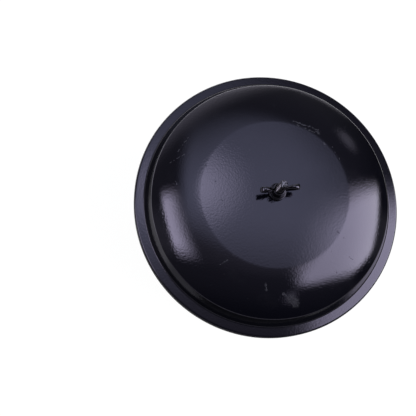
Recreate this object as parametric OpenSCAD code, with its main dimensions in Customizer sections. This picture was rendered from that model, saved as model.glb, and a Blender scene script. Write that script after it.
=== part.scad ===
// Air pre-cleaner for an engine intake: outlet collar, swirl vane base, dust bowl and domed cover.
// The origin is the centre of the collar's lower end, +Z up along the axis. Sizes in millimetres.

/* [Cover] */
// Diameter over the turned-down edge of the cover
cover_d = 280; // [262:1:320]
// Thickness of the cover's sheet
cover_t = 1.2; // [0.8:0.1:1.6]
// Height of the flange's outer corner above the collar's lower end
flange_z = 137; // [130:1:160]
// Width of the flange from its outer edge to the foot of the wall
flange_w = 10.5; // [10:0.5:13]
// Slope of the flange, down to its outer edge
flange_slope = 11; // [0:1:16]
// Depth of the turned-down edge
skirt_h = 10; // [8:0.5:12]
// Outer bend radius at the turned-down edge
edge_r = 3; // [1.8:0.1:3.4]
// Bend radius at the foot of the wall
foot_r = 1.8; // [1:0.1:2.6]
// Height of the rim above the flange's outer corner
wall_h = 19.4; // [14:0.2:28]
// How far the wall leans inwards over its height
wall_lean = 6.6; // [3:0.2:10]
// Outer bend radius between the wall and the shoulder
rim_r = 4; // [2.5:0.5:6]
// Rise of the shoulder from the rim to the edge of the centre disc
shoulder_h = 23.6; // [19:0.2:26]
// Radius of the shoulder's curve
shoulder_r = 117; // [100:1:200]
// Width of the shoulder, from the rim in to the edge of the centre disc
shoulder_w = 47.9; // [44:0.1:56]
// Rise of the centre disc from its edge to the stud
disc_crown = 5.2; // [2:0.2:8]
// Bend radius of the crease round the centre disc
crease_r = 50; // [20:5:60]
// Diameter of the hole for the stud
stud_hole_d = 9; // [8.8:0.1:10]

/* [Dust bowl] */
// Thickness of the bowl's sheet
bowl_t = 1.2; // [0.8:0.1:1.6]
// Depth from the cover's flange to the underside of the bowl
bowl_depth = 82; // [66:1:84]
// Gap between the bowl's wall and the foot of the cover's wall
bowl_inset = 1; // [0.5:0.5:3]
// Gap between the bowl's flange and the inside of the turned-down edge
bowl_lip_gap = 2.3; // [2:0.1:2.6]
// Outer bend radius at the bottom corner
bowl_corner_r = 14; // [8:1:20]
// Bend radius under the flange and at the neck
bowl_bend_r = 3; // [2:0.5:4]
// Width of the dust trough, from the shroud to the bowl's wall
trough_w = 38.1; // [34:0.1:40]
// Height of the upturned neck round the bottom hole
neck_h = 9; // [7:1:14]
// Gap between the neck and the shroud
neck_gap = 1.2; // [0.8:0.1:2]

/* [Gaskets] */
// Thickness of the rubber rings, the cover's at its outer edge
gasket_t = 3; // [2:0.5:5]
// Width of the cover's gasket
cover_gasket_w = 5.5; // [4:0.5:5.5]
// Width of the bowl's gasket
bowl_gasket_w = 8; // [6:0.5:9]
// Gap between a gasket's edge and the sheet beside it
gasket_gap = 0.5; // [0.3:0.1:1]

/* [Base] */
// Thickness of the shroud's sheet
shroud_t = 1.2; // [0.8:0.1:1.6]
// Drop from the cover's flange to the shroud's top edge
shroud_drop = 30; // [20:1:36]
// Width of the base's flange outside the shroud
base_flange_w = 16.8; // [16:0.2:20]
// Outer bend radius where the flange meets the shroud
base_bend_r = 3; // [2:0.5:4]

/* [Swirl vanes] */
// Number of vanes
vane_count = 16; // [12:1:18]
// Thickness of a vane
vane_t = 1.2; // [0.8:0.1:1.6]
// Radius of a vane's curve
vane_r = 34; // [28:1:38]
// Angle through which a vane turns the air
vane_turn = 54; // [40:1:60]
// Height of the vanes' lower edges above the underside of the base's flange
vane_lift = 2; // [1:0.5:6]
// Gap of the weld at a vane's ends
weld_gap = 0.1; // [0.05:0.05:0.3]

/* [Outlet tube] */
// Inner diameter of the collar, which fits a 4 inch pipe
collar_d = 102.2; // [98:0.2:104]
// Thickness of the tube's sheet
tube_t = 1.5; // [1:0.1:2]
// Drop from the cover's flange to the tube's mouth
mouth_drop = 10; // [4:1:20]
// Height of the bead that stops the pipe
bead_z = 36; // [34:1:44]
// Height of the bead above the tube's wall
bead_h = 1.2; // [0.8:0.1:1.4]
// Number of slits in the collar
slit_count = 4; // [2:1:6]
// Width of a slit
slit_w = 2.5; // [2:0.5:4]
// Length of a slit to the middle of its end hole
slit_h = 26; // [18:1:28]
// Diameter of the hole at a slit's end
slit_hole_d = 6; // [5:0.5:8]

/* [Bridge and stud] */
// Width of the strap across the tube
strap_w = 28; // [22:1:36]
// Thickness of the strap
strap_t = 3; // [2.5:0.5:4]
// Drop from the tube's mouth to the strap's top face
strap_drop = 22; // [18:1:30]
// Length of the strap's turned-down ends
strap_tab_h = 20; // [14:1:26]
// Outer bend radius of the strap
strap_bend_r = 6; // [5:0.5:8]
// Diameter of the stud and its nuts' thread
stud_d = 8; // [8:0.1:8.4]
// Height of the stud's end above the middle of the cover
stud_up = 35.2; // [34:0.2:46]
// Length of the stud below the strap
stud_down = 12; // [10:1:18]
// Radial clearance of the threads
thread_gap = 0.05; // [0.02:0.01:0.1]
// Width across the flats of the hexagon nuts
nut_af = 13; // [13:0.5:14]
// Height of the hexagon nuts
nut_h = 6.5; // [5:0.5:8]
// Thickness of the split washer
lock_t = 2; // [1.6:0.2:2.4]
// Outer diameter of the split washer
lock_d = 14.8; // [14:0.2:16]

/* [Wing nut and washers] */
// Outer diameter of the steel washer
washer_d = 21; // [18:0.5:26]
// Thickness of the steel washer
washer_t = 1.6; // [1.2:0.2:2.4]
// Thickness of the rubber washer
seal_t = 2.4; // [1.6:0.2:3]
// Radial gap between the washers and the stud
washer_gap = 0.3; // [0.25:0.05:0.6]
// Diameter of the wing nut's foot
hub_d = 16; // [15:0.5:18]
// Diameter of the wing nut's hub at its top
hub_top_d = 12.5; // [12:0.5:14]
// Height of the wing nut's hub
hub_h = 10; // [8:0.5:12]
// Span over the wings
wing_span = 39.5; // [34:0.5:44]
// Height of the wings
wing_h = 19; // [16:0.5:22]
// Radius of a wing's round end
wing_r = 5.6; // [4.5:0.1:6]
// Thickness of a wing
wing_t = 3.6; // [2.5:0.1:4.5]
// Angle of the wings from +X
wing_angle = 5; // [-90:1:90]

/* [Hidden] */
$fn = 96;
bend_steps = 8;
curve_steps = 12;
over = 1;

// Cover, from the outside in
cover_r = cover_d / 2;
foot_x = cover_r - flange_w;
rim_x = foot_x - wall_lean;
rim_z = flange_z + wall_h;
foot_z = flange_z + flange_w * tan(flange_slope);
disc_r = rim_x - shoulder_w;
disc_z = rim_z + shoulder_h;
crown_z = disc_z + disc_crown;
crown_curve_r = (disc_r * disc_r + disc_crown * disc_crown) / (2 * disc_crown);
function under_z(r) = flange_z + (cover_r - r) * tan(flange_slope) - cover_t / cos(flange_slope);

// Bowl, under the cover's gasket
bowl_flange_r = cover_r - cover_t - bowl_lip_gap;
bowl_flange_z = under_z(bowl_flange_r) - gasket_t;
bowl_r = foot_x - bowl_inset;
bowl_z = flange_z - bowl_depth;
cover_gasket_ir = bowl_flange_r - cover_gasket_w;

// Base, under the bowl's gasket
shroud_or = bowl_r - bowl_t - trough_w;
shroud_ir = shroud_or - shroud_t;
base_flange_r = shroud_or + base_flange_w;
base_top_z = bowl_z - gasket_t;
base_z = base_top_z - shroud_t;
shroud_top_z = flange_z - shroud_drop;
neck_r = shroud_or + neck_gap;
bowl_gasket_r = base_flange_r - gasket_gap;
vane_z = base_z + vane_lift;
vane_h = vane_r * sin(vane_turn);

// Outlet tube, bridge and stud
tube_ir = collar_d / 2;
tube_or = tube_ir + tube_t;
mouth_z = flange_z - mouth_drop;
strap_z = mouth_z - strap_drop;
stud_r = stud_d / 2;
stud_z = strap_z - strap_t - stud_down;
stud_top_z = crown_z + stud_up;
nut_bore_r = stud_r + thread_gap;

// Washers and wing nut, stacked on the cover
seal_z = crown_z;
washer_z = seal_z + seal_t;
wing_nut_z = washer_z + washer_t;
washer_bore_r = stud_r + washer_gap;

function two_digits(n) = n < 10 ? str("0", n) : str(n);
vane_names = [for (i = [1:vane_count]) str("vane_", two_digits(i))];

function unit(v) = v / norm(v);
function cross_z(u, v) = u[0] * v[1] - u[1] * v[0];
function spun(v, angle) = [v[0] * cos(angle) - v[1] * sin(angle), v[0] * sin(angle) + v[1] * cos(angle)];

// The points that round corner b, between a and c, to radius r
function bend(a, b, c, r) =
    let (u = unit(a - b), w = unit(c - b), half = acos(u * w) / 2, sense = sign(cross_z(u, w)))
    let (centre = b + unit(u + w) * r / sin(half), start = b + u * r / tan(half) - centre)
    [for (i = [0:bend_steps]) centre + spun(start, -sense * (180 - 2 * half) * i / bend_steps)];

// A path through corners [x, z, bend radius], with each corner rounded
function rounded(corners) =
    let (p = [for (c = corners) [c[0], c[1]]], last = len(corners) - 1)
    [for (i = [0:last]) each (
        i == 0 || i == last || corners[i][2] == 0 ? [p[i]] : bend(p[i - 1], p[i], p[i + 1], corners[i][2]))];

// The points of an arc of radius r from a to b, its middle on the left of that line, ends left out
function curve(a, b, r) =
    let (half = asin(norm(b - a) / 2 / r), centre = (a + b) / 2 + spun(unit(b - a), 90) * r * cos(half))
    [for (i = [1:curve_steps - 1]) centre + spun(a - centre, 2 * half * i / curve_steps)];

// The same path, moved sideways to its left by t
function beside(p, t) =
    let (last = len(p) - 1)
    [for (i = [0:last])
        let (u = unit(p[i] - p[max(i - 1, 0)] + (i == 0 ? p[1] - p[0] : [0, 0])))
        let (w = unit(p[min(i + 1, last)] - p[i] + (i == last ? p[last] - p[last - 1] : [0, 0])))
        p[i] + spun(u + w, 90) * t / (1 + u * w)];

// The section of a bent sheet: the path and its left side, t away
module sheet(p, t) {
    side = beside(p, t);
    polygon(concat(p, [for (i = [len(side) - 1:-1:0]) side[i]]));
}

module ring(outer_r, inner_r, z, h) {
    translate([0, 0, z]) difference() {
        cylinder(r = outer_r, h = h);
        translate([0, 0, -over]) cylinder(r = inner_r, h = h + 2 * over);
    }
}

// Path corners that stay as they are
function unbent(points) = [for (p = points) [p[0], p[1], 0]];

// Domed cover, pressed from one sheet: its path runs from the turned-down edge in to the stud
module cover() {
    edge = [[cover_r, flange_z - skirt_h, 0], [cover_r, flange_z, edge_r]];
    wall = [[foot_x, foot_z, foot_r], [rim_x, rim_z, rim_r]];
    shoulder = unbent(curve([rim_x, rim_z], [disc_r, disc_z], shoulder_r));
    crown = curve([disc_r, disc_z], [0, crown_z], crown_curve_r);
    hole_r = stud_hole_d / 2;
    hole = [hole_r, crown_z - disc_crown * pow(hole_r / disc_r, 2), 0];
    disc = unbent([for (p = crown) if (p[0] > hole_r + over) p]);
    path = rounded(concat(edge, wall, shoulder, [[disc_r, disc_z, crease_r]], disc, [hole]));
    color([0.06, 0.06, 0.08]) rotate_extrude(convexity = 6) sheet(path, cover_t);
}

// Ring with a flat lower face, its upper face against the slope of the cover's flange
module cover_gasket() {
    color([0.12, 0.12, 0.12]) rotate_extrude() polygon([
        [cover_gasket_ir, bowl_flange_z], [bowl_flange_r, bowl_flange_z],
        [bowl_flange_r, under_z(bowl_flange_r)], [cover_gasket_ir, under_z(cover_gasket_ir)]]);
}

// Deep-drawn pan, from its flange down the wall and in to the neck
module dust_bowl() {
    top = [[bowl_flange_r, bowl_flange_z, 0], [bowl_r - bowl_t, bowl_flange_z, bowl_bend_r + bowl_t]];
    floor_z = bowl_z + bowl_t;
    bottom = [
        [bowl_r - bowl_t, floor_z, bowl_corner_r - bowl_t],
        [neck_r + bowl_t, floor_z, bowl_bend_r - bowl_t],
        [neck_r + bowl_t, bowl_z + neck_h, 0]];
    color([0.07, 0.07, 0.08]) rotate_extrude(convexity = 6) sheet(rounded(concat(top, bottom)), bowl_t);
}

module bowl_gasket() {
    color([0.12, 0.12, 0.12]) ring(bowl_gasket_r, bowl_gasket_r - bowl_gasket_w, base_top_z, gasket_t);
}

// Sleeve round the vanes, with the flange that carries the bowl
module base_shroud() {
    path = rounded([[base_flange_r, base_z, 0], [shroud_ir, base_z, base_bend_r], [shroud_ir, shroud_top_z, 0]]);
    color([0.08, 0.08, 0.09]) rotate_extrude(convexity = 6) sheet(path, -shroud_t);
}

// The curved section of a vane, across the air's way, its lower edge at the origin
module vane_section() {
    translate([-vane_r, 0]) intersection() {
        difference() {
            circle(r = vane_r);
            circle(r = vane_r - vane_t);
        }
        polygon([[0, 0], [2 * vane_r, 0], [2 * vane_r * cos(vane_turn), 2 * vane_r * sin(vane_turn)]]);
    }
}

// One swirl vane, trimmed to the tube inside and the shroud outside
module vane(number) {
    inner_r = tube_or + weld_gap;
    outer_r = shroud_ir - weld_gap;
    half_lean = vane_r * (1 - cos(vane_turn)) / 2;
    color([0.1, 0.1, 0.11]) rotate([0, 0, 360 / vane_count * (number - 1)]) intersection() {
        ring(outer_r, inner_r, vane_z, vane_h);
        translate([half_lean, -inner_r / 2, vane_z]) rotate([90, 0, 0])
            linear_extrude(outer_r) vane_section();
    }
}

// Rolled tube with the slit collar at its foot and a bead that stops the pipe
module outlet_tube() {
    bead_r = bead_h * 1.5;
    bead_x = tube_ir + bead_r - bead_h;
    color([0.08, 0.08, 0.09]) difference() {
        union() {
            ring(tube_or, tube_ir, 0, mouth_z);
            rotate_extrude() translate([bead_x, bead_z]) circle(r = bead_r, $fn = 32);
        }
        rotate_extrude() translate([bead_x + tube_t, bead_z]) circle(r = bead_r, $fn = 32);
        for (i = [0:slit_count - 1]) rotate([0, 0, 360 / slit_count * (i + 0.5)]) {
            translate([tube_ir - over, -slit_w / 2, -over]) cube([tube_t + 2 * over, slit_w, slit_h + over]);
            translate([tube_ir - over, 0, slit_h]) rotate([0, 90, 0])
                cylinder(d = slit_hole_d, h = tube_t + 2 * over);
        }
    }
}

// Strap bent down at both ends, trimmed to the inside of the tube
module bridge_strap() {
    end_x = tube_ir - weld_gap;
    path = rounded([
        [end_x, strap_z - strap_tab_h, 0], [end_x, strap_z, strap_bend_r],
        [-end_x, strap_z, strap_bend_r], [-end_x, strap_z - strap_tab_h, 0]]);
    color([0.08, 0.08, 0.09]) difference() {
        intersection() {
            translate([0, strap_w / 2, 0]) rotate([90, 0, 0]) linear_extrude(strap_w) sheet(path, strap_t);
            cylinder(r = end_x, h = mouth_z);
        }
        translate([0, 0, strap_z - strap_t - over]) cylinder(r = washer_bore_r, h = strap_t + 2 * over);
    }
}

module stud() {
    color([0.2, 0.2, 0.2]) translate([0, 0, stud_z]) cylinder(r = stud_r, h = stud_top_z - stud_z);
}

module hex_nut(z) {
    across_corners = nut_af / cos(30);
    color([0.35, 0.35, 0.36]) translate([0, 0, z]) difference() {
        intersection() {
            cylinder(d = across_corners, h = nut_h, $fn = 6);
            union() {
                cylinder(d1 = nut_af, d2 = nut_af + nut_h * 2, h = nut_h / 2);
                translate([0, 0, nut_h / 2]) cylinder(d1 = nut_af + nut_h * 2, d2 = nut_af, h = nut_h / 2);
            }
        }
        translate([0, 0, -over]) cylinder(r = nut_bore_r, h = nut_h + 2 * over);
    }
}

module stud_nut_lower() {
    hex_nut(strap_z - strap_t - nut_h);
}

module stud_nut_upper() {
    hex_nut(strap_z + lock_t);
}

module lock_washer() {
    color([0.35, 0.35, 0.36]) difference() {
        ring(lock_d / 2, washer_bore_r, strap_z, lock_t);
        translate([0, -lock_t / 4, strap_z - over]) cube([lock_d, lock_t / 2, lock_t + 2 * over]);
    }
}

module seal_washer() {
    color([0.12, 0.12, 0.12]) ring(washer_d / 2, washer_bore_r, seal_z, seal_t);
}

module flat_washer() {
    color([0.15, 0.15, 0.16]) ring(washer_d / 2, washer_bore_r, washer_z, washer_t);
}

// One ear in the wing nut's own plane: a round end on a web that rises from the hub
module wing_outline() {
    tip = [wing_span / 2 - wing_r, wing_h - wing_r];
    out = unit([tip[0], tip[1] - hub_h / 4]);
    translate(tip) circle(r = wing_r);
    polygon([
        [0, hub_h * 0.15], [hub_d * 0.45, hub_h * 0.15],
        tip + spun(out, -90) * wing_r, tip + spun(out, 90) * wing_r,
        [hub_top_d * 0.4, hub_h * 0.9], [0, hub_h * 0.9]]);
}

module wing_nut() {
    color([0.1, 0.1, 0.11]) translate([0, 0, wing_nut_z]) rotate([0, 0, wing_angle]) difference() {
        union() {
            cylinder(d1 = hub_d, d2 = hub_top_d, h = hub_h);
            for (side = [0, 1]) mirror([side, 0, 0])
                translate([0, wing_t / 2, 0]) rotate([90, 0, 0]) linear_extrude(wing_t) wing_outline();
        }
        translate([0, 0, -over]) cylinder(r = nut_bore_r, h = wing_h + 2 * over);
    }
}

cover();
cover_gasket();
wing_nut();
flat_washer();
seal_washer();
dust_bowl();
bowl_gasket();
base_shroud();
outlet_tube();
bridge_strap();
stud();
stud_nut_lower();
stud_nut_upper();
lock_washer();
for (i = [1:vane_count]) vane(i);
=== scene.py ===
"""Looks of the air pre-cleaner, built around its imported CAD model. Metres, in the part's own frame."""
import math

import bpy
import numpy as np
from mathutils import Matrix, Vector


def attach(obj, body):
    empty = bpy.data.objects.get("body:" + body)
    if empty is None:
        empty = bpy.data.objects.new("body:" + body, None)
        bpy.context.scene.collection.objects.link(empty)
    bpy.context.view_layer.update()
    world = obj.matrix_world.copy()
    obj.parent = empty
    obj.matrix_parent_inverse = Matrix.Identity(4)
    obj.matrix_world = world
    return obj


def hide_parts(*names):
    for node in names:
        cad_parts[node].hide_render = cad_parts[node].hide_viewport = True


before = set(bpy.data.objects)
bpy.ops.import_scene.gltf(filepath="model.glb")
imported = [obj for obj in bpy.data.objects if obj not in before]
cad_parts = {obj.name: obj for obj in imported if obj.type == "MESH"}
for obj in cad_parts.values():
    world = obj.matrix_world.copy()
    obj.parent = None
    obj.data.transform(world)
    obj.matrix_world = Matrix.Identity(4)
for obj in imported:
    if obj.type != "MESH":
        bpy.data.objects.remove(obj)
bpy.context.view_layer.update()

scene = bpy.context.scene
scene.view_settings.view_transform = "Standard"

# Camera
# It stands to the front left of the cover and looks down on it from 0.8 m.
# Its right and up directions give its turn.
camera = bpy.data.objects.new("camera", bpy.data.cameras.new("camera"))
camera.data.sensor_width = 36
camera.data.lens = 67.15
camera_right = Vector((0.99384, -0.02262, 0.1085))
camera_up = Vector((0, 0.97893, 0.2041))
camera_place = Matrix((camera_right, camera_up, camera_right.cross(camera_up))).transposed().to_4x4()
camera_place.translation = (-0.1527, -0.1691, 0.9207)
camera.matrix_world = camera_place
scene.collection.objects.link(camera)
scene.camera = camera


# Studio light
# Soft light from above, a large softbox on the right, a smaller one on the left and a sheet of paper below.
# The world gives it by direction: east and north are degrees away from straight up.
class Wire:
    """A socket of a node tree. Arithmetic on it adds Math nodes, and node() adds any other node."""

    def __init__(self, tree, socket=None):
        self.tree, self.socket = tree, socket

    def node(self, kind, settings=None, inputs=None, output=0):
        """A node of any kind with these settings and inputs, given as the wire of one of its outputs."""
        made = self.tree.nodes.new(kind)
        for name, value in (settings or {}).items():
            setattr(made, name, value)
        for name, value in (inputs or {}).items():
            if isinstance(value, Wire):
                self.tree.links.new(value.socket, made.inputs[name])
            else:
                made.inputs[name].default_value = value
        return Wire(self.tree, made.outputs[output] if made.outputs else None)

    def maths(self, operation, *values):
        """A Math node, or a Vector Math node where one of the values is a vector."""
        vector = any(isinstance(v, Wire) and v.socket.type == "VECTOR" for v in values)
        kind = "ShaderNodeVectorMath" if vector else "ShaderNodeMath"
        if vector:
            values = [(v, v, v) if isinstance(v, (int, float)) else v for v in values]
        return self.node(kind, {"operation": operation}, dict(enumerate(values)))

    def __add__(self, other):
        return self.maths("ADD", self, other)

    def __sub__(self, other):
        return self.maths("SUBTRACT", self, other)

    def __mul__(self, other):
        return self.maths("MULTIPLY", self, other)

    def __truediv__(self, other):
        return self.maths("DIVIDE", self, other)

    def __radd__(self, other):
        return self.maths("ADD", other, self)

    def __rsub__(self, other):
        return self.maths("SUBTRACT", other, self)

    def __rmul__(self, other):
        return self.maths("MULTIPLY", other, self)

    def parts(self):
        """The wires of a vector's x, y and z."""
        split = self.node("ShaderNodeSeparateXYZ", inputs={0: self})
        return [Wire(self.tree, s) for s in split.socket.node.outputs]

    def fade(self, low, high):
        """0 at low and 1 at high, with a soft start and end."""
        return self.node("ShaderNodeMapRange", {"interpolation_type": "SMOOTHSTEP"}, {0: self, 1: low, 2: high})


world = bpy.data.worlds.new("studio")
world.use_nodes = True
world.node_tree.nodes.clear()
scene.world = world
sky = Wire(world.node_tree)
way = sky.node("ShaderNodeTexCoord")
way_x, way_y, way_z = way.parts()
from_top = sky.maths("ARCCOSINE", way_z) * (180 / math.pi)
level = sky.maths("MAXIMUM", sky.maths("SQRT", way_x * way_x + way_y * way_y), 0.0001)
east = from_top * way_x / level
north = from_top * way_y / level


def glow(strength, place, size, core):
    """A round patch of light that fades from its core out."""
    away_x = (east - place[0]) / size[0]
    away_y = (north - place[1]) / size[1]
    return strength * sky.maths("SQRT", away_x * away_x + away_y * away_y).fade(1, core)


# The large softbox: its edges, and its slow fall of strength towards the front left
softbox = 5.2
right_box = softbox * (east - 0.25 * north).fade(16, 37) * (east + 0.3 * north).fade(8, 19)
right_box = right_box * (east - 0.05 * north).fade(82.8, 76.5) * (east - north).fade(102, 94.5)
right_box = right_box * (north - 0.27 * east).fade(7.5, -6) * (north - 0.09 * east).fade(-45, -33)
right_box = right_box * (0.72 + 0.32 * (east + 0.5 * north).fade(20, 68))
# The small softbox
left_box = softbox * (east + 0.18 * north).fade(-61, -58.2) * (east + 0.2 * north).fade(-35, -56)
left_box = left_box * north.fade(22, 10) * north.fade(-30, -15)
# The soft light from above
overhead = 1.15 * east.fade(-47, -30) * east.fade(54, 12) * north.fade(74, 12)
overhead = overhead * (north + 0.08 * east).fade(-19.5, 10.5) * (east + north).fade(74, 40)
# Three small lights and the dim room between the softboxes
room = glow(2.5, (-11.5, 15), (17.5, 16), 0.1) + glow(0.53, (56, 47), (10, 10), 0.2)
room = room + glow(0.57, (21, -49), (5, 10.5), 0.2)
room = room + 0.1 * north.fade(-75, -25) * east.fade(90, 35) + 0.13 * north.fade(-32, -16) * north.fade(15, 0)
# The pale walls: behind, low behind on the left, and low in front
horizon = 0.95 * (north - 0.5 * east).fade(70, 118) + (north - 0.1 * east).fade(88, 108)
horizon = horizon + 1.2 * (north - 0.6 * east).fade(25, 60) * from_top.fade(95.5, 105.5)
horizon = horizon + 0.5 * north.fade(-35, -55) * from_top.fade(84, 98) * from_top.fade(118, 104)
cool = (0.9, 1, 1.1)
cool_overhead = sky.node("ShaderNodeVectorMath", {"operation": "SCALE"}, {0: cool, "Scale": overhead})
light = cool_overhead + (right_box + left_box + room + horizon)


def white_share(wire, mirror_share):
    """How much of the plain white a ray sees: the camera's all of it, a mirror's ray this share."""
    path = wire.node("ShaderNodeLightPath").socket.node.outputs
    seen = Wire(wire.tree, path["Is Camera Ray"]) + Wire(wire.tree, path["Is Transmission Ray"])
    return seen + mirror_share * Wire(wire.tree, path["Is Glossy Ray"])


to_object = sky.node("ShaderNodeBackground", inputs={"Color": light})
to_camera = sky.node("ShaderNodeBackground", inputs={"Color": (1, 1, 1, 1)})
shown = sky.node("ShaderNodeMixShader", inputs={0: white_share(sky, 0.02), 1: to_object, 2: to_camera})
sky.node("ShaderNodeOutputWorld", inputs={0: shown})

paper_left, paper_right, paper_front, paper_back = -0.36, 0.4, -0.245, 0.5
ground_mesh = bpy.data.meshes.new("ground")
ground_mesh.from_pydata([
    (paper_left, paper_front, 0), (paper_right, paper_front, 0),
    (paper_right, paper_back, 0), (paper_left, paper_back, 0)], [], [(0, 1, 2, 3)])
ground = bpy.data.objects.new("ground", ground_mesh)
scene.collection.objects.link(ground)
paper = bpy.data.materials.new("white_paper")
paper.use_nodes = True
paper.node_tree.nodes.clear()
sheet = Wire(paper.node_tree)
sheet_place = sheet.node("ShaderNodeTexCoord", output="Object")
paper_grain = sheet.node("ShaderNodeTexNoise", inputs={"Vector": sheet_place, "Scale": 900})
sheet_x, sheet_y, _ = sheet_place.parts()
sheet_r = sheet.maths("SQRT", sheet_x * sheet_x + sheet_y * sheet_y)
# The enamel mirrors little of the white near the part, all of it behind on the right, some of it on the left
mirrored = 0.03 + 0.09 * sheet_r.fade(0.2, 0.32) + 0.95 * sheet_x.fade(0, 0.1) * sheet_y.fade(0.04, 0.12)
mirrored = mirrored + 0.25 * sheet_x.fade(-0.22, -0.27) * sheet_y.fade(0.07, 0.03) * sheet_y.fade(-0.17, -0.12)
paper_shade, paper_glow = 0.085, 0.95
paper_face = sheet.node("ShaderNodeBsdfPrincipled", inputs={
    "Base Color": (*[paper_shade] * 3, 1), "Roughness": 0.9, "Specular IOR Level": 0.1,
    "Emission Color": white_share(sheet, mirrored) * paper_glow, "Emission Strength": 1,
    "Normal": sheet.node("ShaderNodeBump", inputs={"Strength": 0.1, "Distance": 0.0002, "Height": paper_grain})})
beneath = Wire(sheet.tree, sheet.node("ShaderNodeNewGeometry").socket.node.outputs["Backfacing"])
clear = sheet.node("ShaderNodeBsdfTransparent")
one_sided = sheet.node("ShaderNodeMixShader", inputs={0: beneath, 1: paper_face, 2: clear})
sheet.node("ShaderNodeOutputMaterial", inputs={0: one_sided})
ground_mesh.materials.append(paper)


# Cover
# Domed lid pressed from one sheet of 1.2 mm steel, its edge turned down over the bowl's flange.
# It is sprayed with gloss black enamel, which has orange peel, dust and the scuffs of storage.
cover_r, cover_lip, cover_corner = 0.140, 0.127, 0.137
cover_sheet = 0.0012
flange_slope = math.radians(11)
foot_x, rim_x, rim_z = 0.1295, 0.1229, 0.1564
disc_r, disc_z, disc_rise = 0.075, 0.180, 0.0052
shoulder_bow = 0.117
corner_bend, foot_bend, rim_bend, crease_bend, crease_clear = 0.003, 0.0024, 0.004, 0.024, 0.0013
hole_r, hole_clear = 0.0045, 0.001


def bend(a, b, c, r, steps=14):
    """The points that round the corner b, between a and c, to radius r."""
    u, w = (a - b).normalized(), (c - b).normalized()
    half = u.angle(w) / 2
    middle = b + (u + w).normalized() * r / math.sin(half)
    start = b + u * r / math.tan(half) - middle
    turn = math.pi - 2 * half if u.x * w.y - u.y * w.x < 0 else 2 * half - math.pi
    spins = [Matrix.Rotation(turn * i / steps, 2) for i in range(steps + 1)]
    return [middle + spin @ start for spin in spins]


def bow(a, b, r, steps):
    """The points of an arc of radius r from a to b, its middle on the left of that line, ends left out."""
    half = math.asin((b - a).length / 2 / r)
    side = Vector((a.y - b.y, b.x - a.x)).normalized()
    middle = (a + b) / 2 + side * r * math.cos(half)
    return [middle + Matrix.Rotation(2 * half * i / steps, 2) @ (a - middle) for i in range(1, steps)]


def rounded(corners):
    """A path through (x, z, bend radius), with each corner rounded."""
    p = [Vector(c[:2]) for c in corners]
    made = [p[0]]
    for i in range(1, len(p) - 1):
        made += bend(p[i - 1], p[i], p[i + 1], corners[i][2]) if corners[i][2] else [p[i]]
    return made + [p[-1]]


def beside(path, t):
    """The same path, moved sideways to its left by t."""
    made = []
    for i, here in enumerate(path):
        before = (here - path[i - 1]).normalized() if i else (path[1] - here).normalized()
        after = (path[i + 1] - here).normalized() if i + 1 < len(path) else before
        across = before + after
        made.append(here + Vector((-across.y, across.x)) * t / (1 + before.dot(after)))
    return made


def sheet_section(path, t):
    """The closed section of a bent sheet: the path, a round edge, its left side, and a round edge."""
    side = beside(path, t)[::-1]
    ends = []
    for a, b, inner in ((path[-1], side[0], path[-2]), (side[-1], path[0], side[-2])):
        out = (a - inner).normalized() * (b - a).length * 0.25
        ends.append([a + (b - a) * f + out * math.sin(f * math.pi) ** 0.5 for f in (0.06, 0.25, 0.5, 0.75, 0.94)])
    return path[:-1] + ends[0] + side[1:-1] + ends[1]


def new_tree(name, inputs):
    """A Geometry Nodes tree with these named inputs, and the wires of the inputs."""
    tree = bpy.data.node_groups.new(name, "GeometryNodeTree")
    tree.interface.new_socket("Geometry", in_out="OUTPUT", socket_type="NodeSocketGeometry")
    for title, kind in {"Geometry": "Geometry", **inputs}.items():
        tree.interface.new_socket(title, in_out="INPUT", socket_type="NodeSocket" + kind)
    given = tree.nodes.new("NodeGroupInput")
    return Wire(tree), [Wire(tree, s) for s in given.outputs if s.name]


def end_tree(build, shape, finish):
    """Creased where two faces meet sharply, smooth elsewhere, made real and painted."""
    sharp_from = 0.6
    edge_angle = build.node("GeometryNodeInputMeshEdgeAngle")
    soft = build.node("FunctionNodeCompare", {"data_type": "FLOAT", "operation": "LESS_THAN"}, {
        0: edge_angle, 1: sharp_from})
    shape = build.node("GeometryNodeSetShadeSmooth", {"domain": "FACE"}, {"Geometry": shape, "Shade Smooth": True})
    shape = build.node("GeometryNodeSetShadeSmooth", {"domain": "EDGE"}, {"Geometry": shape, "Shade Smooth": soft})
    shape = build.node("GeometryNodeRealizeInstances", inputs={0: shape})
    shape = build.node("GeometryNodeSetMaterial", inputs={"Geometry": shape, "Material": finish})
    build.node("NodeGroupOutput", inputs={0: shape})


def run_tree(build, name, values, mesh=None):
    """The tree's result on a mesh, as an object with a plain mesh."""
    piece = bpy.data.objects.new(name, mesh or bpy.data.meshes.new(name))
    scene.collection.objects.link(piece)
    modifier = piece.modifiers.new("build", "NODES")
    modifier.node_group = build.tree
    for item in build.tree.interface.items_tree:
        if item.in_out == "INPUT" and item.name in values:
            modifier[item.identifier] = values[item.name]
    made = bpy.data.meshes.new_from_object(piece.evaluated_get(bpy.context.evaluated_depsgraph_get()))
    piece.modifiers.clear()
    piece.data = made
    made.name = name
    return piece


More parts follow.
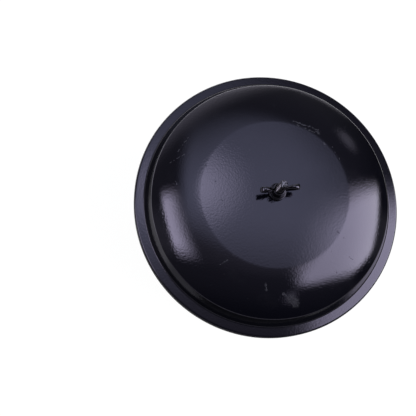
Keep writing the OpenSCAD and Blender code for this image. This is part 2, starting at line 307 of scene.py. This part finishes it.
# Turns a section round the axis: each column of a grid takes the section's points at its own angle
same_place = 0.000002
lathe, (section, columns, lathe_finish) = new_tree("turned_section", {"Columns": "Int", "Finish": "Material"})
point_count = lathe.node("GeometryNodeAttributeDomainSize", {"component": "MESH"}, {0: section})
grid = lathe.node("GeometryNodeMeshGrid", inputs={"Vertices X": columns + 1, "Vertices Y": point_count + 1})
index = lathe.node("GeometryNodeInputIndex")
column = lathe.maths("FLOOR", (index + 0.5) / (point_count + 1))
row = lathe.maths("MODULO", index - column * (point_count + 1), point_count)
section_point = lathe.node("GeometryNodeSampleIndex", {"data_type": "FLOAT_VECTOR"}, {
    "Geometry": section, "Value": lathe.node("GeometryNodeInputPosition"), "Index": row})
section_x, _, section_z = section_point.parts()
angle = column * (2 * math.pi) / columns
turned = lathe.node("ShaderNodeCombineXYZ", inputs={
    0: section_x * lathe.maths("COSINE", angle), 1: section_x * lathe.maths("SINE", angle), 2: section_z})
turned = lathe.node("GeometryNodeSetPosition", inputs={"Geometry": grid, "Position": turned})
turned = lathe.node("GeometryNodeMergeByDistance", inputs={"Geometry": turned, "Distance": same_place})
end_tree(lathe, turned, lathe_finish)


def turn_piece(name, points, columns, finish):
    """A piece turned from a closed section of (x, z) points, given anticlockwise."""
    mesh = bpy.data.meshes.new(name + "_section")
    mesh.from_pydata([(p[0], 0, p[1]) for p in points], [], [])
    return run_tree(lathe, name, {"Columns": columns, "Finish": finish}, mesh)


def new_finish(name):
    """An empty material and the wire to build it with."""
    made = bpy.data.materials.new(name)
    made.use_nodes = True
    made.node_tree.nodes.clear()
    return made, Wire(made.node_tree)


def streaks(paint, place, marks):
    """1 within these marks: a start, an end and a width each, in millimetres from the axis. Thin ones break up."""
    if not marks:
        return 0
    wander = paint.node("ShaderNodeTexNoise", inputs={"Vector": place, "Scale": 260, "Detail": 2}, output="Color")
    breaks = paint.node("ShaderNodeTexNoise", inputs={"Vector": place, "Scale": 380, "Detail": 3}).fade(0.42, 0.62)
    flat = (place * 1000 + (wander - 0.5) * 2.5) * (1, 1, 0)
    found = 0
    for start, end, width in marks:
        reach = Vector((end[0] - start[0] + 0.01, end[1] - start[1], 0))
        away = flat - (start[0], start[1], 0)
        along = paint.node("ShaderNodeVectorMath", {"operation": "DOT_PRODUCT"}, {
            0: away, 1: reach / reach.length_squared}, output="Value")
        along = paint.node("ShaderNodeMath", {"operation": "ADD", "use_clamp": True}, {0: along, 1: 0})
        nearest = paint.node("ShaderNodeVectorMath", {"operation": "SCALE"}, {0: reach, "Scale": along})
        gap = paint.node("ShaderNodeVectorMath", {"operation": "DISTANCE"}, {0: away, 1: nearest}, output="Value")
        found = paint.maths("MAXIMUM", found, (gap + breaks).fade(width * 0.7, width * 0.3))
    return found


def enamel(name, tone, gloss, peel, dust, scuffs=(), scratches=(), painted_reflection_groove=None):
    """Sprayed enamel: orange peel, a slow ripple of the sheet, specks, dull zones, marks and a pale ring of painted
    reflection in a groove.

    Heights are in millimetres, and painted_reflection_groove is the ring's distance from the axis, where there is one.
    """
    made, paint = new_finish(name)
    place = paint.node("ShaderNodeTexCoord", output="Object")
    fine = paint.node("ShaderNodeTexNoise", inputs={"Vector": place, "Scale": 560, "Detail": 2})
    broad = paint.node("ShaderNodeTexNoise", inputs={"Vector": place, "Scale": 40, "Detail": 1})
    specks = paint.node("ShaderNodeTexVoronoi", inputs={"Vector": place, "Scale": 95}, output="Distance")
    speck = specks.fade(0.08, 0.03)
    dull = paint.node("ShaderNodeTexNoise", inputs={"Vector": place, "Scale": 14, "Detail": 6, "Roughness": 0.7})
    dull = dull.fade(0.5, 0.76) * dust
    scuffed, scratched = streaks(paint, place, scuffs), streaks(paint, place, scratches)
    grain = paint.node("ShaderNodeTexNoise", inputs={"Vector": place, "Scale": 900, "Detail": 3}).fade(0.35, 0.6)
    height = (fine * 0.085 + broad * 0.06) * peel + speck * 0.03 - scratched * 0.03
    millimetre = 0.001
    face = paint.node("ShaderNodeBump", inputs={"Strength": 1, "Distance": millimetre, "Height": height})
    pale = dull + scuffed * grain * 0.65 + speck * 0.2
    # The pale ring is painted reflection: it lightens the groove as the light that the wall and the flange throw on
    # each other would.
    if painted_reflection_groove is not None:
        from_axis = paint.node("ShaderNodeVectorMath", {"operation": "LENGTH"}, {
            0: place * (1, 1, 0)}, output="Value")
        pale = pale + paint.maths("ABSOLUTE", from_axis - painted_reflection_groove).fade(0.004, 0.001) * 0.08
    dust_tone = (0.035, 0.035, 0.042)
    tones = paint.node("ShaderNodeMix", {"data_type": "RGBA", "clamp_factor": True}, {
        0: pale, 6: (*tone, 1), 7: (*dust_tone, 1)}, output=2)
    gloss_here = gloss + dull * 0.25 + scuffed * 0.25 + scratched * 0.3
    violet = (0.76, 0.7, 1, 1)
    body = paint.node("ShaderNodeBsdfPrincipled", inputs={
        "Base Color": tones, "Roughness": gloss_here, "IOR": 1.62, "Specular Tint": violet, "Normal": face})
    paint.node("ShaderNodeOutputMaterial", inputs={0: body})
    return made


cover_scuffs = [
    ((20, 76.5), (47, 67), 1.9), ((25, 71.5), (42, 64), 1.9), ((46, 65), (47, 64), 4.5),
    ((59, 51), (67, 35), 1.2), ((52, 52), (53, 51), 3.2),
    ((-96, 46), (-86, 60), 1.3), ((-104, 35), (-90, 42), 1.1), ((-99, 14), (-98, 11), 1.6),
    ((5, -99), (13, -104), 3), ((13, -103), (18, -108), 8), ((-13, -89), (-12, -95), 2.4),
    ((-57, -70), (-50, -66), 1.4), ((-46, -62), (-43, -61), 2)]
cover_scratches = [
    ((28, 74), (40, 69), 1.5), ((-70, 29), (-69, 28), 1.8), ((-61, 13), (-60, 12), 1.6), ((-55, -7), (-54, -8), 1.4),
    ((60, -38), (62, -40), 2), ((67, -45), (69, -46), 2.2), ((73, -63), (80, -68), 1.6), ((58, -76), (60, -80), 1.6),
    ((53, -55), (53, -59), 1.1)]
# The pale ring in the cover's foot groove is painted reflection, not dust.
cover_paint = enamel(
    "cover_enamel", (0.0015, 0.0016, 0.0036), gloss=0.06, peel=1, dust=0.12,
    scuffs=cover_scuffs, scratches=cover_scratches, painted_reflection_groove=foot_x - 0.002)
flange_z = cover_corner + (cover_r - foot_x) * math.tan(flange_slope)
crease = Vector((disc_r, disc_z))
shoulder = bow(Vector((rim_x, rim_z)), crease, shoulder_bow, steps=48)
disc_bow = (disc_r ** 2 + disc_rise ** 2) / (2 * disc_rise)
disc = bow(crease, Vector((0, disc_z + disc_rise)), disc_bow, steps=50)
hole_z = disc_z + disc_rise - disc_rise * (hole_r / disc_r) ** 2


def clear_of_crease(p):
    """Whether a point is far enough from the crease for its bend to fit in between."""
    return (p - crease).length > crease_clear


cover_path = rounded([
    (cover_r, cover_lip, 0), (cover_r, cover_corner, corner_bend), (foot_x, flange_z, foot_bend),
    (rim_x, rim_z, rim_bend), *[(*p, 0) for p in shoulder if clear_of_crease(p)], (disc_r, disc_z, crease_bend),
    *[(*p, 0) for p in disc if clear_of_crease(p) and p.x > hole_r + hole_clear],
    (hole_r, hole_z, 0)])
cover = turn_piece("cover_lid", sheet_section(cover_path, cover_sheet), columns=256, finish=cover_paint)
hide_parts("cover")
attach(cover, "cover")


# Wing nut
# Cast M8 wing nut that holds the cover down: a hub with a flared foot and two ears with round ends.
# Its ears melt into the hub in soft fillets, and it is painted with the cover.
nut_z, nut_h, nut_foot_r, nut_top_r = 0.1892, 0.01, 0.008, 0.00625
ear_foot, ear_tip = Vector((0, 0.0025)), Vector((0.0142, 0.0118))
ear_r, ear_thick = 0.0058, 0.0056
stem_start, root, root_tall, root_thick = 0.002, 0.006, 0.0035, 0.6
edge_thick, edge_width = 0.35, 0.0028
bore_r, bore_mouth_r, bore_chamfer, bore_past = 0.00405, 0.0052, 0.0012, 0.001
nut_turn = math.radians(5)
nut_tone = (0.0012, 0.0012, 0.0016)
nut_paint = enamel("nut_enamel", nut_tone, gloss=0.06, peel=0.3, dust=0.05)
# The hub is turned from this outline
cast_points, cast_faces = [], []
hub = [(0, 0), (0.0076, 0), (nut_foot_r, 0.0006), (nut_foot_r, 0.0017), (0.0071, 0.0027),
       (nut_top_r, 0.0092), (0.0056, nut_h), (0, nut_h)]
around = 48
angles = np.linspace(0, 2 * math.pi, around + 1)[:-1]
for x, z in hub:
    cast_points += [(x * math.cos(a), x * math.sin(a), z) for a in angles]
for row in range(len(hub) - 1):
    for i in range(around):
        j = (i + 1) % around
        cast_faces.append([row * around + i, row * around + j, (row + 1) * around + j, (row + 1) * around + i])
# Each ear is a row of ovals along its stem, which grow towards its round end
ear_way = (ear_tip - ear_foot).normalized()
ear_long = (ear_tip - ear_foot).length
for side in (0, math.pi):
    first = len(cast_points)
    stem = np.linspace(stem_start, ear_long, 22)
    round_end = ear_long + ear_r * np.sin(np.linspace(0.08, 1.53, 16))
    stations = [*stem, *round_end]
    for s in stations:
        spread = min(max((s - root) / (ear_long - root), 0), 1)
        tall = root_tall + (ear_r - root_tall) * spread ** 2 * (3 - 2 * spread)
        tall = tall if s < ear_long else math.sqrt(max(ear_r ** 2 - (s - ear_long) ** 2, 0))
        thick = ear_thick / 2 * (root_thick + (1 - root_thick) * spread) * min(1, edge_thick + tall / edge_width)
        middle = ear_foot + ear_way * s
        for a in angles:
            up = tall * math.copysign(abs(math.cos(a)) ** 0.95, math.cos(a))
            y = thick * math.copysign(abs(math.sin(a)) ** 0.85, math.sin(a))
            x, z = middle.x - ear_way.y * up, middle.y + ear_way.x * up
            cast_points.append((x * math.cos(side) - y * math.sin(side), x * math.sin(side) + y * math.cos(side), z))
    for row in range(len(stations) - 1):
        for i in range(around):
            j = (i + 1) % around
            here = first + row * around
            cast_faces.append([here + i, here + around + i, here + around + j, here + j])
    cast_faces.append([first + i for i in range(around)])
    cast_faces.append([len(cast_points) - 1 - i for i in range(around)])
cast_mesh = bpy.data.meshes.new("wing_nut_cast")
cast_mesh.from_pydata(cast_points, [], cast_faces)
cast_mesh.transform(Matrix.Translation((0, 0, nut_z)) @ Matrix.Rotation(nut_turn, 4, "Z"))
cast = bpy.data.objects.new("wing_nut_body", cast_mesh)
scene.collection.objects.link(cast)
# The hub and the ears are run together and softened, and the casting is drilled for the thread
bore_low, bore_high = nut_z - bore_past, nut_z + nut_h + bore_past
thread_bore = turn_piece("nut_bore", [
    (0, bore_low), (bore_mouth_r, bore_low), (bore_mouth_r, nut_z), (bore_r, nut_z + bore_chamfer),
    (bore_r, nut_z + nut_h - bore_chamfer), (bore_mouth_r, nut_z + nut_h), (bore_mouth_r, bore_high),
    (0, bore_high)], columns=64, finish=nut_paint)
recast = cast.modifiers.new("recast", "REMESH")
recast.mode, recast.voxel_size, recast.use_smooth_shade = "VOXEL", 0.0003, True
soften = cast.modifiers.new("soften", "SMOOTH")
soften.factor, soften.iterations = 0.5, 7
drill = cast.modifiers.new("drill", "BOOLEAN")
drill.operation, drill.object = "DIFFERENCE", thread_bore
cast_made = bpy.data.meshes.new_from_object(cast.evaluated_get(bpy.context.evaluated_depsgraph_get()))
cast.modifiers.clear()
cast.data = cast_made
bpy.data.objects.remove(thread_bore)
cast_made.materials.clear()
cast_made.materials.append(nut_paint)
cast_made.polygons.foreach_set("material_index", [0] * len(cast_made.polygons))
cast_made.shade_smooth()
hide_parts("wing_nut")
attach(cast, "wing_nut")


# Flat washer
# Steel washer stamped from sheet, so that its upper edge is round and its lower one sharp.
# It lies loose under the wing nut and is painted like it.
washer_z, washer_t, washer_r, washer_hole_r = 0.1876, 0.0016, 0.0086, 0.0043
washer_mid, washer_round, washer_hole_round, washer_sharp = 0.007, 0.0005, 0.0003, 0.0001
# A ring's section starts and ends on its underside, this far apart
section_gap = 0.0001
washer = turn_piece("flat_washer_ring", rounded([
    (washer_mid, washer_z, 0), (washer_r, washer_z, washer_sharp), (washer_r, washer_z + washer_t, washer_round),
    (washer_hole_r, washer_z + washer_t, washer_hole_round), (washer_hole_r, washer_z, washer_sharp),
    (washer_mid - section_gap, washer_z, 0)]),
    columns=128, finish=enamel("washer_enamel", nut_tone, gloss=0.08, peel=0.3, dust=0.05))
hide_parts("flat_washer")
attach(washer, "washers")


# Seal washer
# Soft rubber washer under the steel one, which keeps the rain out of the stud's hole.
# The nut squeezes it, so that its outer edge bulges.
seal_z, seal_t, seal_bulge, seal_bow = 0.1852, 0.0024, 0.0005, 0.0017


def rubber(name, tone, dusty):
    """Moulded rubber: matt, with a fine skin and some dust."""
    made, skin = new_finish(name)
    place = skin.node("ShaderNodeTexCoord", output="Object")
    pores = skin.node("ShaderNodeTexNoise", inputs={"Vector": place, "Scale": 1600, "Detail": 3})
    dust = skin.node("ShaderNodeTexNoise", inputs={"Vector": place, "Scale": 60, "Detail": 5}).fade(0.45, 0.8) * dusty
    dust_tone = (0.06, 0.057, 0.052)
    tones = skin.node("ShaderNodeMix", {"data_type": "RGBA"}, {
        0: dust, 6: (*tone, 1), 7: (*dust_tone, 1)}, output=2)
    face = skin.node("ShaderNodeBump", inputs={"Strength": 0.6, "Distance": 0.00004, "Height": pores})
    body = skin.node("ShaderNodeBsdfPrincipled", inputs={
        "Base Color": tones, "Roughness": 0.55 + dust * 0.3, "IOR": 1.5, "Normal": face})
    skin.node("ShaderNodeOutputMaterial", inputs={0: body})
    return made


seal_r, seal_top = washer_r - seal_bulge, seal_z + seal_t
seal_outer = bow(Vector((seal_r, seal_z)), Vector((seal_r, seal_top)), seal_bow, steps=10)
seal = turn_piece("seal_washer_ring", [
    (seal_r, seal_z), *[(2 * seal_r - p.x, p.y) for p in seal_outer], (seal_r, seal_top),
    (washer_hole_r, seal_top), (washer_hole_r, seal_z)],
    columns=128, finish=rubber("seal_rubber", (0.004, 0.004, 0.004), dusty=0.1))
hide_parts("seal_washer")
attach(seal, "washers")


# Stud
# M8 rod of steel with a rolled thread over its whole length, chamfered at both ends.
# It rises from the strap through the cover, and its upper end stands out of the wing nut.
stud_foot, stud_top, stud_r, stud_pitch = 0.09, 0.2204, 0.004, 0.00125
threads, (_, foot, long, radius, pitch, thread_columns, thread_finish) = new_tree("rolled_thread", {
    "Foot": "Float", "Length": "Float", "Radius": "Float", "Pitch": "Float", "Columns": "Int", "Finish": "Material"})
rows_a_turn, thread_depth, end_share = 12, 0.613, 0.78
last_row = threads.maths("ROUND", long / pitch * rows_a_turn)
thread_grid = threads.node("GeometryNodeMeshGrid", inputs={
    "Vertices X": thread_columns + 1, "Vertices Y": last_row + 1})
thread_index = threads.node("GeometryNodeInputIndex")
thread_column = threads.maths("FLOOR", (thread_index + 0.5) / (last_row + 1))
thread_row = thread_index - thread_column * (last_row + 1)
rise = thread_row / last_row * long
phase = threads.maths("FRACT", (rise + 0.5) / pitch - thread_column / thread_columns)
flank = threads.maths("ABSOLUTE", phase * 2 - 1)
ridge = threads.node("ShaderNodeMapRange", inputs={0: flank, 1: 0.12, 2: 0.86})
thread_r = radius - pitch * thread_depth * (1 - ridge)
thread_r = threads.maths("MINIMUM", thread_r, threads.maths("MINIMUM", rise, long - rise) + radius * end_share)
closed = threads.maths("GREATER_THAN", thread_row, 0.5) * threads.maths("LESS_THAN", thread_row, last_row - 0.5)
thread_angle = thread_column / thread_columns * (2 * math.pi)
thread_place = threads.node("ShaderNodeCombineXYZ", inputs={
    0: thread_r * closed * threads.maths("COSINE", thread_angle),
    1: thread_r * closed * threads.maths("SINE", thread_angle), 2: foot + rise})
thread_shape = threads.node("GeometryNodeSetPosition", inputs={"Geometry": thread_grid, "Position": thread_place})
thread_shape = threads.node("GeometryNodeMergeByDistance", inputs={"Geometry": thread_shape, "Distance": same_place})
end_tree(threads, thread_shape, thread_finish)


def bare_metal(name, tone, stain_or_glint_gap, gloss, grain, stain_and_glint_scale=240):
    """Bare or plated metal: a fine grain, and a darker tone in patches, which is a stain on the zinc and the gaps
    between painted glints on the stud.
    """
    made, metal = new_finish(name)
    place = metal.node("ShaderNodeTexCoord", output="Object")
    stain_and_glint = metal.node("ShaderNodeTexNoise", inputs={"Vector": place, "Scale": stain_and_glint_scale, "Detail": 6}).fade(0.4, 0.6)
    fine = metal.node("ShaderNodeTexNoise", inputs={"Vector": place, "Scale": 1500, "Detail": 2})
    tones = metal.node("ShaderNodeMix", {"data_type": "RGBA"}, {0: stain_and_glint, 6: (*tone, 1), 7: (*stain_or_glint_gap, 1)}, output=2)
    face = metal.node("ShaderNodeBump", inputs={"Strength": 1, "Distance": grain, "Height": fine})
    body = metal.node("ShaderNodeBsdfPrincipled", inputs={
        "Base Color": tones, "Roughness": gloss + stain_and_glint * 0.15, "Metallic": 1, "Normal": face})
    metal.node("ShaderNodeOutputMaterial", inputs={0: body})
    return made


# On the stud the small bright patches against near-black are painted glints of the thread crests.
stud = run_tree(threads, "stud_rod", {
    "Foot": stud_foot, "Length": stud_top - stud_foot, "Radius": stud_r, "Pitch": stud_pitch, "Columns": 32,
    "Finish": bare_metal(
        "stud_metal", (0.16, 0.145, 0.185), stain_or_glint_gap=(0.008, 0.008, 0.009), gloss=0.16, grain=0.00005, stain_and_glint_scale=620)})
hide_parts("stud")
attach(stud, "base")


# Cover gasket
# Rubber ring in the channel under the cover's flange, glued to the cover.
# It is pressed between that sloping flange and the bowl's flat one.
bowl_flange_r, bowl_flange_z = 0.1365, 0.13346
lid_gasket_r, lid_gasket_mid = 0.131, 0.134
gasket_edge, gasket_black = 0.0006, (0.012, 0.012, 0.012)


def under_flange(x):
    """Height of the underside of the cover's flange."""
    return cover_corner + (cover_r - x) * math.tan(flange_slope) - cover_sheet / math.cos(flange_slope)


lid_gasket = turn_piece("cover_gasket_ring", rounded([
    (lid_gasket_mid, bowl_flange_z, 0), (bowl_flange_r, bowl_flange_z, gasket_edge),
    (bowl_flange_r, under_flange(bowl_flange_r), gasket_edge), (lid_gasket_r, under_flange(lid_gasket_r), gasket_edge),
    (lid_gasket_r, bowl_flange_z, gasket_edge), (lid_gasket_mid - section_gap, bowl_flange_z, 0)]),
    columns=192, finish=rubber("lid_gasket_rubber", gasket_black, dusty=0.5))
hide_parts("cover_gasket")
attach(lid_gasket, "cover")


# Dust bowl
# Pan deep-drawn from 1.2 mm steel, with a flange at its top and an upturned neck round the hole in its floor.
# Gloss black enamel like the cover, with fine dust on the inside.
pan_sheet, pan_inside, pan_floor, neck_r, neck_z = 0.0012, 0.1273, 0.0562, 0.0916, 0.064
pan_flange_bend, pan_floor_bend, neck_bend = 0.0042, 0.0128, 0.0018
bowl = turn_piece("dust_bowl_pan", sheet_section(rounded([
    (bowl_flange_r, bowl_flange_z, 0), (pan_inside, bowl_flange_z, pan_flange_bend),
    (pan_inside, pan_floor, pan_floor_bend), (neck_r, pan_floor, neck_bend), (neck_r, neck_z, 0)]), pan_sheet),
    columns=256, finish=enamel("bowl_enamel", (0.002, 0.002, 0.0026), gloss=0.08, peel=1, dust=0.3))
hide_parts("dust_bowl")
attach(bowl, "bowl")


# Bowl gasket
# Flat rubber ring cut from sheet, laid on the base's flange.
# The floor of the dust bowl rests on it.
base_flange_r, base_top = 0.106, 0.052
floor_gasket_r, floor_gasket_in, floor_gasket_mid = base_flange_r - 0.0005, base_flange_r - 0.0085, 0.101
floor_gasket_top = base_top + 0.003
floor_gasket = turn_piece("bowl_gasket_ring", rounded([
    (floor_gasket_mid, base_top, 0), (floor_gasket_r, base_top, gasket_edge),
    (floor_gasket_r, floor_gasket_top, gasket_edge), (floor_gasket_in, floor_gasket_top, gasket_edge),
    (floor_gasket_in, base_top, gasket_edge), (floor_gasket_mid - section_gap, base_top, 0)]),
    columns=192, finish=rubber("floor_gasket_rubber", gasket_black, dusty=0.6))
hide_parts("bowl_gasket")
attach(floor_gasket, "base")


# Base shroud
# Sleeve rolled from 1.2 mm steel round the vanes, with a flange turned out at its foot.
# The spinning dust is thrown over its upper edge into the bowl. Its enamel is duller than the cover's.
shroud_sheet, shroud_in, shroud_foot, shroud_top, shroud_bend = 0.0012, 0.088, 0.0508, 0.107, 0.003
base_tone = (0.003, 0.003, 0.0035)
base_paint = enamel("base_enamel", base_tone, gloss=0.16, peel=1.2, dust=0.6)
shroud = turn_piece("base_shroud_sleeve", sheet_section(rounded([
    (shroud_in, shroud_top, 0), (shroud_in, shroud_foot, shroud_bend), (base_flange_r, shroud_foot, 0)]),
    shroud_sheet), columns=224, finish=base_paint)
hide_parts("base_shroud")
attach(shroud, "base")


# Swirl vanes
# Sixteen curved steel vanes between the outlet tube and the shroud, which set the intake air spinning.
# Each is pressed from sheet and welded at both ends, with a bead along its curve, and painted with the base.
vane_count, vane_sheet, vane_curve, vane_turn, vane_foot = 16, 0.0012, 0.034, math.radians(54), 0.0528
tube_out, weld_gap, weld_r, bead_points = 0.0526, 0.0001, 0.0013, 64
ripple_height, ripple_turns, lumps = 0.14, 130, 0.5
swirl, (_, count, sheet_t, curve_r, sweep, vane_low, inner_r, outer_r, bead_r, vane_finish) = new_tree("swirl_vanes", {
    "Vanes": "Int", "Sheet": "Float", "Curve": "Float", "Turn": "Float", "Foot": "Float", "Inner radius": "Float",
    "Outer radius": "Float", "Weld radius": "Float", "Finish": "Material"})
lean = curve_r * (1 - swirl.maths("COSINE", sweep)) / 2


def on_vane(turned_by, arc_r):
    """Sideways place and height of a point of the vane's curve."""
    sideways = arc_r * swirl.maths("COSINE", turned_by) - curve_r + lean
    return sideways, vane_low + arc_r * swirl.maths("SINE", turned_by)


def out_to(wall_r, sideways):
    """How far out the round wall is, beside the middle by this much."""
    return swirl.maths("SQRT", wall_r * wall_r - sideways * sideways)


# A blade is a flat block bent to the arc, with its ends cut to the two round walls
blank = swirl.node("GeometryNodeMeshCube", inputs={"Vertices X": 3, "Vertices Y": 10, "Vertices Z": 28})
across, along, up = swirl.node("GeometryNodeInputPosition").parts()
vane_x, vane_height = on_vane((up + 0.5) * sweep, curve_r - sheet_t * (0.5 - across))
vane_start, vane_end = out_to(inner_r, vane_x), out_to(outer_r, vane_x)
vane_y = vane_start + (0.5 - along) * (vane_end - vane_start)
blade = swirl.node("GeometryNodeSetPosition", inputs={"Geometry": blank, "Position": swirl.node(
    "ShaderNodeCombineXYZ", inputs={0: vane_x, 1: 0 - vane_y, 2: vane_height})})
# A weld bead is a lumpy rod that follows each end of the arc
bead_step = swirl.node("GeometryNodeInputIndex") / (bead_points - 1)
bead_x, bead_height = on_vane(bead_step * sweep, curve_r - sheet_t / 2)
bead_size = swirl.node("ShaderNodeTexNoise", inputs={"Vector": swirl.node("GeometryNodeInputPosition"), "Scale": 700})
ripple = 1 + ripple_height * swirl.maths("SINE", bead_step * ripple_turns) + lumps * (bead_size - 0.5)
ring = swirl.node("GeometryNodeCurvePrimitiveCircle", inputs={"Resolution": 10, "Radius": bead_r})
beads = []
for wall_r in (inner_r, outer_r):
    seam = swirl.node("GeometryNodeMeshLine", inputs={"Count": bead_points})
    seam = swirl.node("GeometryNodeMeshToCurve", inputs={0: seam})
    seam = swirl.node("GeometryNodeSetPosition", inputs={"Geometry": seam, "Position": swirl.node(
        "ShaderNodeCombineXYZ", inputs={0: bead_x, 1: 0 - out_to(wall_r, bead_x), 2: bead_height})})
    seam = swirl.node("GeometryNodeSetCurveRadius", inputs={0: seam, "Radius": ripple})
    beads.append(swirl.node("GeometryNodeCurveToMesh", inputs={0: seam, 1: ring, "Fill Caps": True}))
# The vane and its beads are set round the axis
one_vane = swirl.node("GeometryNodeJoinGeometry")
for shape in (blade, *beads):
    swirl.tree.links.new(shape.socket, one_vane.socket.node.inputs[0])
turn_of = swirl.node("ShaderNodeCombineXYZ", inputs={2: swirl.node("GeometryNodeInputIndex") * (2 * math.pi) / count})
around_axis = swirl.node("GeometryNodeInstanceOnPoints", inputs={
    "Points": swirl.node("GeometryNodeMeshLine", inputs={"Count": count, "Offset": (0, 0, 0)}), "Instance": one_vane,
    "Rotation": swirl.node("FunctionNodeEulerToRotation", inputs={0: turn_of})})
end_tree(swirl, around_axis, vane_finish)
vanes = run_tree(swirl, "swirl_vane_ring", {
    "Vanes": vane_count, "Sheet": vane_sheet, "Curve": vane_curve, "Turn": vane_turn, "Foot": vane_foot,
    "Inner radius": tube_out + weld_gap, "Outer radius": shroud_in - weld_gap, "Weld radius": weld_r,
    "Finish": base_paint})
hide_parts(*[f"vane_{i:02d}" for i in range(1, vane_count + 1)])
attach(vanes, "base")


# Outlet tube and bridge strap
# Rolled steel tube with a slit clamping collar at its foot, and a strap welded across its inside for the stud.
# They carry the base's paint, and in the collar the pipe has rubbed it dull.
for title in ("outlet_tube", "bridge_strap"):
    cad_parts[title].data.materials.clear()
    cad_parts[title].data.materials.append(
        enamel(title + "_enamel", base_tone, gloss=0.2, peel=1.2, dust=0.8))


# Nuts and split washer on the stud
# Zinc-plated steel hardware that clamps the stud to the strap, the split washer under the upper nut.
# It is hidden inside the tube, apart from below.
zinc = bare_metal("zinc_plate", (0.62, 0.63, 0.66), stain_or_glint_gap=(0.5, 0.49, 0.44), gloss=0.24, grain=0.00001)
for title in ("stud_nut_lower", "stud_nut_upper", "lock_washer"):
    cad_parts[title].data.materials.clear()
    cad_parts[title].data.materials.append(zinc)
